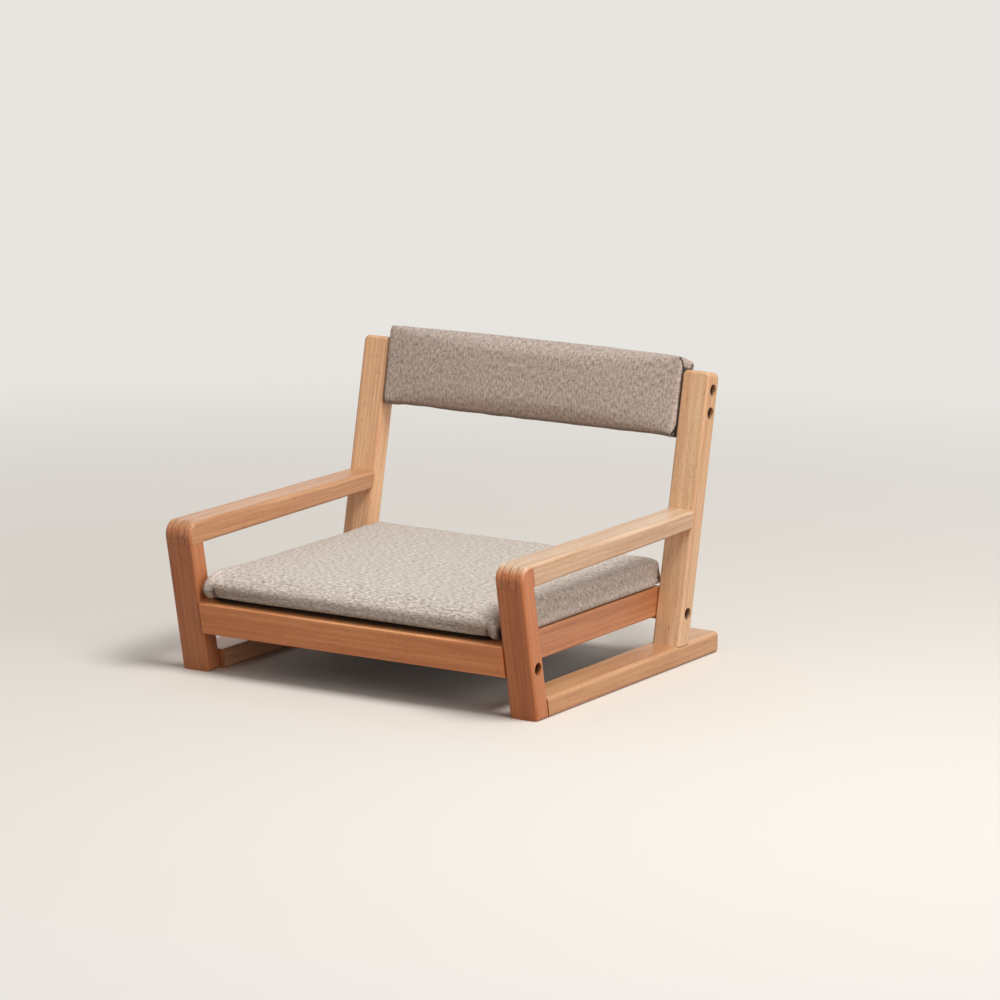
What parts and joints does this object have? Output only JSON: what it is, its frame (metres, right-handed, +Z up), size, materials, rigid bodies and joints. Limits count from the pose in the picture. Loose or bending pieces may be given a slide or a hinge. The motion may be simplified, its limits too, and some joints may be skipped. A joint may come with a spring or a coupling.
{
  "type": "floor chair",
  "caption": "Legless floor chair: leaning beech side frames with armrests on floor runners, a bolted seat frame, a padded fabric seat and a padded fabric back bar.",
  "frame": {"origin": "middle of the footprint on the floor, halfway between the side frames", "axes": "+Z up, -Y the way the sitter faces, +X to the right of someone who looks at the chair's front; left and right in names are seen that way too"},
  "size_m": [0.474, 0.472, 0.3555],
  "materials": {
    "beech": "clear satin lacquer over straight beech grain",
    "plywood": "raw birch plywood",
    "foam": "open-cell upholstery foam",
    "linen": "heathered greige linen-look weave",
    "black_lining": "black non-woven lining",
    "zinc_steel": "zinc-plated steel"
  },
  "bodies": {
    "root": {"left_runner": "beech", "right_runner": "beech", "left_front_post": "beech", "right_front_post": "beech", "left_armrest": "beech", "right_armrest": "beech", "left_rear_post": "beech", "right_rear_post": "beech", "front_rail": "beech", "rear_rail": "beech", "left_side_rail": "beech", "right_side_rail": "beech", "corner_blocks": "beech", "armrest_dowels": "beech", "rear_post_dowels": "beech", "front_post_dowels": "beech", "rail_dowels": "beech", "side_rail_dowels": "beech", "seat_board": "plywood", "back_board": "plywood", "seat_foam": "foam", "back_foam": "foam", "seat_cover": "linen", "back_cover": "linen", "seat_lining": "black_lining", "rail_bolts": "zinc_steel", "back_bolts": "zinc_steel", "bolt_washers": "zinc_steel", "barrel_nuts": "zinc_steel", "back_inserts": "zinc_steel", "seat_screws": "zinc_steel"}
  },
  "joints": []
}
